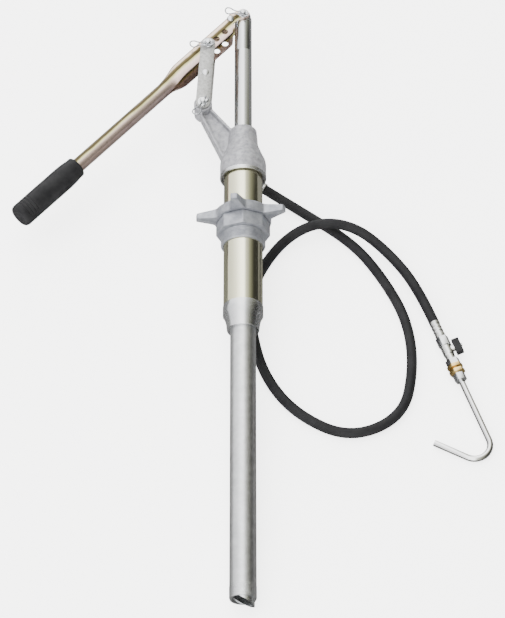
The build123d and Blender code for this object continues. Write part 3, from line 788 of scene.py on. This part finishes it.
# ------------------------------------------------------------------ barrel and head
@dataclass
class BarrelAndHead:
    """Polished barrel and the cast head with the arm for the link."""

    barrel: float = 26.0
    bore: float = 24.1
    low: float = 423.0
    high: float = 646.0
    voxel: float = 0.0009

    def head(self) -> None:
        """Make the casting with soft inner corners from its machined shape."""
        rough = bpy.data.objects.new("head_cast_body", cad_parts["head_casting"].data.copy())
        bpy.context.scene.collection.objects.link(rough)
        mesh = bmesh.new()
        mesh.from_mesh(rough.data)
        bmesh.ops.remove_doubles(mesh, verts=mesh.verts, dist=1e-6)
        mesh.to_mesh(rough.data)
        mesh.free()
        remesh = rough.modifiers.new("cast skin", "REMESH")
        remesh.mode = "VOXEL"
        remesh.voxel_size = self.voxel
        soften = rough.modifiers.new("cast radii", "SMOOTH")
        soften.iterations = 5
        soften.factor = 0.5
        fit(baked(rough), "pump_body", CASTING, "head_casting")
        rim = [(28.9, 623.1), (30.5, 623.1), (31.45, 624.2), (31.45, 627.4), (30.9, 628.0),
               (28.9, 628.0)]
        fit(turned("head_machined_rim", rim, PUMP.along(), 96, 0.2), "pump_body", MACHINED)

    def build(self) -> None:
        """Make the barrel and the head."""
        tube = [(self.bore, self.low), (self.barrel - 0.5, self.low),
                (self.barrel, self.low + 0.7), (self.barrel, self.high), (self.bore, self.high)]
        fit(turned("barrel_plated_tube", tube, PUMP.along(), 128, 0.0), "pump_body", BARREL,
            "barrel_tube")
        self.head()
        dress_nodes(SEAL, "barrel_gasket", "rod_seal", "rod_wiper_ring")
        dress_nodes(BARE_STEEL, "rod_guide_bush")


# ------------------------------------------------------------------ rod and piston
@dataclass
class RodAndPiston:
    """The plated rod with its eye, and the piston inside the barrel."""

    rod: float = 12.0
    bore: float = 9.5

    def build(self) -> None:
        """Make the rod, and finish the piston's parts."""
        outline = [(self.bore, 605.0), (self.rod, 605.0), (self.rod, 834.6),
                   (self.rod - 0.35, 835.2), (self.rod - 0.35, 836.8), (self.rod, 837.4),
                   (self.rod, 885.4), (self.rod - 0.5, 886.0), (self.bore, 886.0)]
        fit(turned("rod_plated_tube", outline, PUMP.along(), 72, 0.0), "piston_rod", ROD,
            "rod_tube")
        dress_nodes(ZINC, "rod_eye_plug")
        dress_nodes(PISTON, "piston_body")
        dress_nodes(SEAL, "piston_seals")
        dress_nodes(BARE_STEEL, "piston_valve_ball")


# ------------------------------------------------------------------ lever
@dataclass
class Lever:
    """Pressed lever whose open channel draws in to a round tube, and its grip."""

    outer: float = 14.8
    web: float = 14.0
    corner: float = 7.0
    ear: float = 8.5
    web_start: float = 14.0
    lip: tuple[Point2, ...] = ((0.0, 8.5), (4.0, 7.0), (9.0, 3.2), (16.0, 0.8), (22.0, 1.4),
                               (28.0, 6.4), (33.0, 10.4), (38.0, 11.0), (500.0, 11.0))
    sheet: float = 2.4
    tube: float = 10.0
    draw_from: float = 126.0
    draw_to: float = 168.0
    end: float = 440.0
    grip: float = 16.5

    def edges(self, run: float) -> Point2:
        """Give the heights of the web and of the lips at a place along the lever.

        Args:
            run: Distance from the pivot.

        Returns:
            The web's height and the lips' height.
        """
        if run < 0.0:
            half = math.sqrt(max(self.ear**2 - run**2, 0.01))
            return -half, half
        for (start, high), (end, higher) in zip(self.lip, self.lip[1:]):
            if run <= end:
                lips = high + (higher - high) * (run - start) / (end - start)
                break
        rise = min(run / self.web_start, 1.0)
        return -self.ear - (self.web - self.ear) * rise, lips

    def section(self, share: float, run: float) -> Point2:
        """Give a point of the open channel's section.

        Args:
            share: 0 at one lip, 0.5 at the middle of the web, 1 at the other lip.
            run: Distance from the pivot.

        Returns:
            The point's place across and its height.
        """
        low, high = self.edges(run)
        side = 1.0 if share < 0.5 else -1.0
        part = 2.0 * min(share, 1.0 - share)
        if run < self.web_start:
            return side * self.outer, high + (low - high) * min(part / 0.64, 1.0)
        if part < 0.44:
            return side * self.outer, high + (low + self.corner - high) * part / 0.44
        if part < 0.74:
            turn = (part - 0.44) / 0.30 * math.pi / 2
            return (side * (self.outer - self.corner + self.corner * math.cos(turn)),
                    low + self.corner - self.corner * math.sin(turn))
        return side * (self.outer - self.corner) * (1.0 - (part - 0.74) / 0.26), low

    def skin(self, run: float, share: float) -> Vector:
        """Give a point of the lever's outside, from its place along and round."""
        across, height = self.section(share, run)
        turn = math.tau * share
        drawn = min(max((run - self.draw_from) / (self.draw_to - self.draw_from), 0.0), 1.0)
        drawn = drawn * drawn * (3.0 - 2.0 * drawn)
        ring_across, ring_height = self.tube * math.sin(turn), self.tube * math.cos(turn)
        return Vector((run, height + (ring_height - height) * drawn,
                       across + (ring_across - across) * drawn))

    def arm(self) -> bpy.types.Object:
        """Press the arm from one sheet and drill it."""
        mesh = bmesh.new()
        bmesh.ops.create_grid(mesh, x_segments=220, y_segments=100, size=1.0)
        ears = []
        for dot in mesh.verts:
            reach, share = (dot.co.x + 1.0) / 2.0, (dot.co.y + 1.0) / 2.0
            if reach < 0.6:
                run = -self.ear + reach / 0.6 * (175.0 + self.ear)
            else:
                run = 175.0 + (reach - 0.6) / 0.4 * (self.end - 175.0)
            if run < self.web_start and 0.325 < share < 0.675:
                ears.append(dot)
            dot.co = self.skin(run, share)
        bmesh.ops.delete(mesh, geom=ears, context="VERTS")
        bmesh.ops.remove_doubles(mesh, verts=mesh.verts, dist=1e-3)
        bmesh.ops.recalc_face_normals(mesh, faces=mesh.faces)
        top = max(mesh.faces, key=lambda face: face.calc_center_median().x)
        middle = top.calc_center_median()
        if Vector((0.0, middle.y, middle.z)).dot(top.normal) < 0.0:
            bmesh.ops.reverse_faces(mesh, faces=mesh.faces)
        bmesh.ops.transform(mesh, matrix=PUMP.lever(), verts=mesh.verts)
        data = bpy.data.meshes.new("lever_pressed_arm")
        mesh.to_mesh(data)
        mesh.free()
        made = bpy.data.objects.new("lever_pressed_arm", data)
        bpy.context.scene.collection.objects.link(made)
        wall = made.modifiers.new("sheet", "SOLIDIFY")
        wall.thickness = self.sheet * MM
        wall.offset = -1.0
        drill = bmesh.new()
        for x, y, radius in ((0.0, 0.0, 3.56), (40.5, 2.5, 4.5), (57.5, 2.5, 4.5),
                             (72.5, 0.0, 3.56)):
            bmesh.ops.create_cone(drill, cap_ends=True, segments=32, radius1=radius,
                                  radius2=radius, depth=60.0,
                                  matrix=Matrix.Translation((x, y, 0.0)))
        drills = piece(drill, "lever_drills", PUMP.lever())
        cut(made, drills)
        eased = made.modifiers.new("eased edges", "BEVEL")
        eased.width = 0.0003
        eased.segments = 2
        eased.limit_method = "ANGLE"
        eased.angle_limit = math.radians(50.0)
        baked(made)
        bpy.data.objects.remove(drills)
        return made

    def build(self) -> None:
        """Make the arm, its grip and the button rivet."""
        fit(self.arm(), "lever", LEVER_STEEL, "lever_arm")
        outline: list[Point2] = [(self.tube + 0.1, 335.0), (13.6, 335.0), (14.6, 336.0),
                                 (15.0, 339.0), (14.6, 341.0), (15.2, 343.0), (15.9, 350.0),
                                 (self.grip, 360.0), (self.grip, 418.0)]
        for groove in range(4):
            base = 419.0 + groove * 5.0
            outline += [(self.grip, base), (self.grip - 0.7, base + 0.7),
                        (self.grip - 0.7, base + 1.4), (self.grip, base + 2.1)]
        outline += [(self.grip, 440.0), (15.6, 443.4), (14.0, 445.0), (12.2, 445.0),
                    (11.4, 444.0), (10.4, 444.0), (9.6, 445.0), (7.0, 445.0), (6.2, 444.0),
                    (5.2, 444.0), (4.4, 445.0), (0.0, 445.0)]
        outline = [(0.0, 441.1), (self.tube + 0.1, 441.1)] + outline
        fit(turned("lever_rubber_grip", outline, PUMP.down_lever(), 72, 0.25), "lever", RUBBER,
            "lever_grip")
        foot = PUMP.lever() @ Vector((19.0, -6.9, 0.0))
        rivet = [(0.0, -16.8), (4.0, -16.8), (5.0, -14.9), (3.4, -14.8), (3.4, 14.8),
                 (5.0, 14.9), (4.9, 16.6), (4.2, 18.0), (2.4, 18.9), (0.0, 19.0)]
        fit(turned("lever_button_rivet", rivet, rig(foot, PUMP.right, PUMP.front), 40, 0.2),
            "lever", ZINC, "lever_spacer_rivet")


# ------------------------------------------------------------------ link
@dataclass
class Linkage:
    """The link's two plates, the three pins and their wire clips."""

    link_x: float = -48.794
    link_at: float = 839.377
    eye_x: float = -55.0
    eye_at: float = 739.5

    def clip(self, name: str, middle: Vector, turn: float, body: str) -> None:
        """Bend one spring clip through its pin.

        Args:
            name: Name of the node that it replaces.
            middle: Centre of the hole through the pin.
            turn: Where its eye points, in degrees from the right, counted up the pump.
            body: Body it rides on.
        """
        away = PUMP.right * math.cos(math.radians(turn)) + PUMP.up * math.sin(math.radians(turn))
        flat = rig(middle, away, PUMP.front)
        bends = ((-9.0, 0.0), (5.0, 0.0), (13.0, 0.0), (18.5, -3.6), (24.5, -3.0), (25.6, 2.6),
                 (22.0, 7.6), (16.4, 6.4), (12.0, 4.0), (8.6, 4.6), (5.4, 5.9), (2.6, 5.2),
                 (0.0, 4.3), (-2.6, 5.4), (-5.4, 5.8), (-8.5, 4.2))
        points = [flat @ Vector((x, y, 0.0)) for x, y in bends]
        fit(wire(f"{name}_wire", points, 0.0009), body, CLIP_WIRE, name)

    def pin(self, name: str, x: float, at: float, face: float, clip_at: float, turn: float,
            body: str) -> None:
        """Make one headed pin with its washer and clip.

        Args:
            name: Name of the joint, which starts the names of its parts.
            x: Place right of the axis.
            at: Place up the pump.
            face: Distance from the middle to the outer face.
            clip_at: Height of the clip.
            turn: Where the clip's eye points.
            body: Body the pin rides on.
        """
        where = PUMP.side(x, at)
        shaft = [(0.0, -face - 2.5), (5.0, -face - 2.5), (5.6, -face - 1.9), (5.6, -face),
                 (3.5, -face), (3.5, clip_at + 2.2), (2.9, clip_at + 3.0), (0.0, clip_at + 3.2)]
        fit(turned(f"{name}_headed_pin", shaft, where, 40, 0.15), body, ZINC, f"{name}_pin")
        washer = [(3.6, face), (7.2, face), (7.2, face + 1.4), (3.6, face + 1.4)]
        fit(turned(f"{name}_plain_washer", washer, where, 48, 0.2), body, ZINC, f"{name}_washer")
        self.clip(f"{name}_clip", PUMP.place(x, at, clip_at), turn, body)

    def build(self) -> None:
        """Make plates, rivet and pins."""
        ends = stadium((self.link_x, self.link_at), (self.eye_x, self.eye_at), 10.0)
        plates = (("link_plate_front", 15.1, 18.1), ("link_plate_rear", -18.1, -15.1))
        for name, low, high in plates:
            fit(plate(f"{name}_pressed", ends, low, high, PUMP.side(), 0.6), "link", LINK_STEEL,
                name)
        middle = ((self.link_x + self.eye_x) / 2, (self.link_at + self.eye_at) / 2)
        rivet = [(0.0, -19.7), (3.4, -19.5), (4.6, -18.7), (5.0, -18.1), (3.5, -18.0),
                 (3.5, -15.2), (5.5, -15.1), (5.5, 15.1), (3.5, 15.2), (3.5, 18.0),
                 (5.0, 18.1), (4.6, 18.9), (3.4, 19.6), (0.0, 19.8)]
        fit(turned("link_domed_rivet", rivet, PUMP.side(*middle), 40, 0.1), "link", ZINC,
            "link_rivet")
        self.pin("rod_pivot", 0.0, PUMP.pivot_at, 14.8, 18.4, 168.0, "lever")
        self.pin("lever_link", self.link_x, self.link_at, 18.1, 21.4, 186.0, "link")
        self.pin("bracket", self.eye_x, self.eye_at, 18.1, 21.4, 240.0, "link")


# ------------------------------------------------------------------ bung collar
@dataclass
class BungCollar:
    """The threaded bung bushing and the four-lugged nut that clamps it on the barrel."""

    crest: float = 29.8
    octagon: float = 36.3
    ring: float = 37.5
    tip: float = 62.98
    thinning: float = 6.0
    turns: tuple[float, ...] = (-11.0, 61.0, 205.0, 277.0)
    flank: Point2 = (15.975, 0.1811)
    root_ease: float = 4.2
    tip_ease: float = 2.0
    low: float = 553.3
    high: float = 568.0

    def lug_reach(self, turn: float) -> float:
        """Give the star's radius at an angle in degrees from the front.

        A lug's straight flank leans in by flank[1] for each step outwards and would meet the
        lug's sideways line through the axis at flank[0]; it is eased into the ring and the tip.
        """
        off = math.radians(min(abs((turn - lug + 180.0) % 360.0 - 180.0) for lug in self.turns))
        offset, lean = self.flank
        side = offset / (math.sin(off) + lean * math.cos(off)) if off < 1.4 else 0.0
        over = min(side, 90.0) - self.ring
        eased = self.ring + (over + math.hypot(over, self.root_ease)) / 2
        return (self.tip + eased - math.hypot(self.tip - eased, self.tip_ease)) / 2

    def star(self) -> bpy.types.Object:
        """Cast the star nut."""
        mesh = bmesh.new()
        bmesh.ops.create_circle(mesh, segments=360, radius=self.ring,
                                matrix=Matrix.Translation((0.0, 0.0, self.low)))
        rim = mesh.edges[:]
        for dot in mesh.verts:
            turn = math.degrees(math.atan2(dot.co.x, -dot.co.y))
            reach = self.lug_reach(turn)
            dot.co.x *= reach / self.ring
            dot.co.y *= reach / self.ring
        bmesh.ops.create_circle(mesh, segments=360, radius=31.3,
                                matrix=Matrix.Translation((0.0, 0.0, self.low)))
        inner = [edge for edge in mesh.edges if edge not in set(rim)]
        bmesh.ops.bridge_loops(mesh, edges=rim + inner)
        for dot in lifted(mesh, self.high - self.low):
            out = math.hypot(dot.co.x, dot.co.y) - self.ring
            drop = self.thinning * max(out, 0.0) / (self.tip - self.ring)
            dot.co.z = self.high - drop
        bmesh.ops.recalc_face_normals(mesh, faces=mesh.faces)
        rounded(mesh, 1.3, 60.0)
        return piece(mesh, "star_nut_cast", PUMP.along())

    def build(self) -> None:
        """Make the star nut with its top collar, and the bushing with its octagon."""
        fit(self.star(), "star_nut", CAST_ZINC, "star_nut")
        cap = [(26.5, 564.4), (31.4, 564.4), (31.4, 568.0), (33.6, 568.0), (33.2, 568.6),
               (32.2, 568.84), (27.0, 568.84), (26.5, 568.48)]
        fit(turned("star_nut_top_collar", cap, PUMP.along(), 96, 0.15), "star_nut", CAST_ZINC)
        outline: list[Point2] = [(26.4, 515.0), (self.crest - 1.6, 515.0)]
        outline += thread(516.2, 532.9, self.crest, 1.15, 2.31)
        outline += [(31.6, 533.0), (31.6, 554.0), (31.0, 554.2), (31.0, 563.8), (29.0, 563.8),
                    (29.0, 556.0), (26.4, 556.0)]
        fit(turned("bung_threaded_bushing", outline, PUMP.along(), 96, 0.0), "bung_bushing",
            CAST_ZINC, "bung_bushing")
        flats = nut("bung_octagon", 8, self.octagon * math.cos(math.pi / 8), 533.0, 553.0,
                    PUMP.along() @ Matrix.Rotation(math.radians(-22.5), 4, "Z"), 1.0)
        drill = bmesh.new()
        bmesh.ops.create_cone(drill, cap_ends=True, segments=96, radius1=30.0, radius2=30.0,
                              depth=40.0, matrix=Matrix.Translation((0.0, 0.0, 543.0)))
        bore = piece(drill, "bung_octagon_bore", PUMP.along())
        cut(flats, bore)
        baked(flats)
        bpy.data.objects.remove(bore)
        fit(flats, "bung_bushing", CAST_ZINC)
        dress_nodes(SEAL, "bung_seal_ring")


# ------------------------------------------------------------------ outlet, valve and nozzle
@dataclass
class OutletAndNozzle:
    """The elbow behind the head, the hose ferrules, the ball valve and the curved nozzle."""

    valve: Vector = Vector((0.37863, -0.02933, 0.01245))
    flow: Vector = Vector((0.331959, -0.942648, -0.034899))
    level: Vector = Vector((0.943223, 0.332161, 0.0))
    elbow: Vector = Vector((0.12663, 0.210535, 0.0192628))
    outward: Vector = Vector((0.830509, -0.539339, -0.139173))
    tube: float = 4.0
    bore: float = 3.0
    bend: float = 21.1
    root: float = 87.7
    corner: float = 240.7
    aside: float = 68.0
    back: float = 70.7

    def crimped(self, name: str, where: Matrix, radius: float, low: float, high: float
                ) -> bpy.types.Object:
        """Make a ferrule with crimp rings."""
        length = high - low
        outline: list[Point2] = [(3.1, low), (radius - 0.6, low), (radius, low + 0.8),
                                 (radius, low + 0.16 * length)]
        for ring in range(3):
            base = low + length * (0.2 + 0.22 * ring)
            outline += [(radius - 0.5, base), (radius - 0.5, base + length * 0.12),
                        (radius, base + length * 0.15), (radius, base + length * 0.19)]
        outline += [(radius, high - 1.0), (radius - 0.6, high - 0.2), (3.1, high - 0.2)]
        return turned(name, outline, where, 16, 0.2)

    def nozzle(self, where: Matrix) -> bpy.types.Object:
        """Bend the nozzle tube."""
        mesh = bmesh.new()
        for radius in (self.tube, self.bore):
            bmesh.ops.create_circle(mesh, segments=40, radius=radius,
                                    matrix=Matrix.Translation((0.0, 0.0, self.root)))
        start = mesh.edges[:]
        angle = math.pi - math.atan2(self.aside, self.back)
        set_back = self.bend * math.tan(angle / 2)
        turn_at = self.corner - set_back
        grown = bmesh.ops.extrude_edge_only(mesh, edges=start)["geom"]
        bmesh.ops.translate(mesh, verts=corners(grown), vec=(0.0, 0.0, turn_at - self.root))
        curved = bmesh.ops.spin(mesh, geom=edges(grown) + corners(grown),
                                cent=(-self.bend, 0.0, turn_at), axis=(0.0, -1.0, 0.0),
                                angle=angle, steps=44, use_merge=False)["geom_last"]
        grown = bmesh.ops.extrude_edge_only(mesh, edges=edges(curved))["geom"]
        reach = math.hypot(self.aside, self.back)
        tip = (reach - set_back) / reach
        bmesh.ops.translate(mesh, verts=corners(grown),
                            vec=(-self.aside * tip, 0.0, -self.back * tip))
        end = edges(grown)
        bmesh.ops.bridge_loops(mesh, edges=start)
        bmesh.ops.bridge_loops(mesh, edges=end)
        bmesh.ops.recalc_face_normals(mesh, faces=mesh.faces)
        rounded(mesh, 0.15, 60.0)
        return piece(mesh, "nozzle_bent_tube", where)

    def build(self) -> list[bpy.types.Object]:
        """Make everything from the elbow to the nozzle, and return what hangs on the hose."""
        dress_nodes(ZINC, "outlet_elbow")
        fit(self.crimped("ferrule_at_pump", rig(self.elbow, Vector((0.5447, 0.8387, 0.0)),
                                                self.outward), 8.2, 14.0, 36.0),
            "pump_body", FERRULE, "hose_ferrule_pump_end")
        where = rig(self.valve, self.level, self.flow)
        body = "pump_body"
        hung = [
            fit(self.crimped("ferrule_at_valve", where, 6.9, 0.0, 26.0), body, FERRULE,
                "hose_ferrule_valve_end"),
            fit(nut("swivel_hex_nut", 6, 7.6, 26.0, 39.8, where), body, ZINC, "hose_swivel_nut"),
            fit(nut("brass_hex_adapter", 6, 9.5, 70.6, 75.8, where, 0.7), body, BRASS,
                "brass_adapter"),
            fit(nut("brass_hex_locknut", 6, 9.5, 78.6, 83.9, where, 0.7), body, BRASS,
                "brass_locknut"),
            fit(turned("brass_adapter_thread", [(0.0, 75.9)] + thread(76.0, 87.4, 6.5, 0.5, 1.15)
                       + [(0.0, 87.5)], where, 48, 0.0), body, BRASS),
            fit(nut("nozzle_zinc_nut", 6, 7.4, 84.1, 95.4, where, 0.8), body, ZINC, "nozzle_nut"),
            fit(self.nozzle(where), body, NOZZLE_CHROME, "nozzle_tube"),
        ]
        dress_nodes(VALVE_CHROME, "ball_valve_body", "valve_ball", "valve_stem")
        dress_nodes(WHITE_SEAT, "valve_seats")
        dress_nodes(KNOB, "valve_knob")
        dress_nodes(ZINC, "knob_screw")
        hung += [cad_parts[node] for node in (
            "ball_valve_body", "valve_seats", "valve_ball", "valve_stem", "valve_knob",
            "knob_screw")]
        return hung


def main() -> None:
    """Build the studio and the pump, and report each piece."""
    logging.basicConfig(level=logging.INFO, format="%(name)s: %(message)s")
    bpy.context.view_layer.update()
    Studio().build()
    hose = DeliveryHose()
    hose.build()
    fittings = OutletAndNozzle().build()
    builders: tuple[Callable[[], None], ...] = (
        SuctionEnd().build, BarrelAndHead().build, RodAndPiston().build, Lever().build,
        Linkage().build, BungCollar().build)
    for builder in builders:
        builder()


if __name__ == "__main__":
    main()
